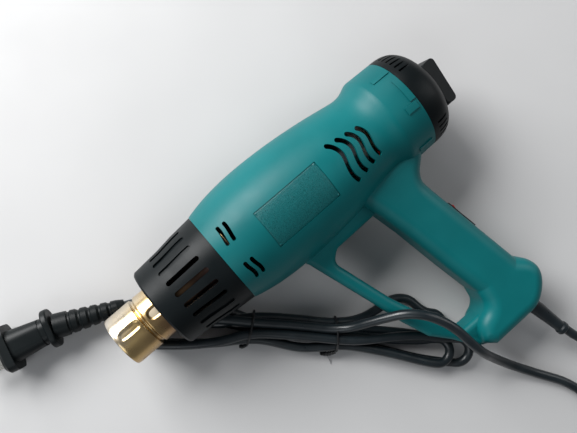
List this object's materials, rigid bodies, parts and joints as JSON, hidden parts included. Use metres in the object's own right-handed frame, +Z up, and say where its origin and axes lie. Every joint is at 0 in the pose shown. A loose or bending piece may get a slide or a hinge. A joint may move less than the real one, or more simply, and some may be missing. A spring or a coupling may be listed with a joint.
{
  "type": "heat gun",
  "caption": "Pistol-shaped hot-air gun lying on its side, with a steel outlet tube, a slotted heat shroud, a closed handle with a finger guard, a rocker switch and a tied mains cord with plug.",
  "frame": {"origin": "floor point under the middle of the gun's bounding box, the cord left out", "axes": "+X runs back along the barrel from the outlet to the rear cap, +Y points away from the handle, +Z up from the floor; the gun lies on its right side"},
  "size_m": [0.3923, 0.3875, 0.0749],
  "materials": {
    "housing": "fine moulded texture, dark teal",
    "charcoal": "heat resistant moulded plastic, charcoal",
    "plate": "blank brushed plate",
    "tube_steel": "stainless tube with a light straw heat tint",
    "screw_steel": "zinc plated",
    "mica": "mica laminate",
    "heating_wire": "resistance alloy wire",
    "cutout": "small metal case",
    "duct": "heat resistant moulded plastic",
    "motor_steel": "drawn and plated",
    "bushing": "sintered bronze",
    "magnet": "sintered ferrite",
    "end_bell": "natural nylon",
    "armature": "laminated core with lacquered windings",
    "fan": "glass filled nylon",
    "board": "phenolic circuit board",
    "diode": "epoxy",
    "capacitor": "dipped film",
    "switch_black": "smooth moulded plastic",
    "rocker_red": "glossy red plastic",
    "terminal": "stamped brass",
    "cord": "black flexible sheath",
    "wire": "insulated wire",
    "tie": "black plastic covered wire tie",
    "plug": "moulded plug body",
    "pin_metal": "nickel plated brass"
  },
  "bodies": {
    "gun": {"housing_left": "housing", "housing_right": "housing", "housing_screws": "screw_steel", "name_plate": "plate", "heat_shroud": "charcoal", "nozzle_tube": "tube_steel", "insulating_sleeve": "mica", "heater_board_upright": "mica", "heater_board_flat": "mica", "heater_coil": "heating_wire", "heater_disc": "mica", "thermal_cutout": "cutout", "air_duct": "duct", "motor_can": "motor_steel", "motor_bushings": "bushing", "motor_magnets": "magnet", "motor_end_bell": "end_bell", "diode_board": "board", "board_posts": "terminal", "diodes": "diode", "board_capacitor": "capacitor", "rear_cap": "charcoal", "switch_body": "switch_black", "switch_terminals": "terminal", "cord_boot": "cord", "cord_inlet": "cord", "cord_clamp": "duct", "clamp_screws": "screw_steel", "mains_wires": "wire", "heater_wires": "wire", "motor_wires": "wire", "cord_lead": "cord", "cord_bight": "cord", "cord_tail": "cord", "cord_hank": "cord", "tie_front": "tie", "tie_back": "tie", "plug_body": "plug", "plug_pins": "pin_metal", "plug_boot": "plug"},
    "rotor": {"motor_armature": "armature", "fan_wheel": "fan"},
    "rocker": {"switch_rocker": "rocker_red"}
  },
  "joints": [
    {"name": "fan_spin", "type": "hinge", "parent": "gun", "child": "rotor", "pos_m": [0.0365, 0.0783, 0.03761], "axis": [1, 0, 0], "continuous": true},
    {"name": "rocker_press", "type": "hinge", "parent": "gun", "child": "rocker", "pos_m": [0.08069, -0.00281, 0.02722], "axis": [0, -0.1271, 0.9919], "range_deg": [0, 20]}
  ]
}
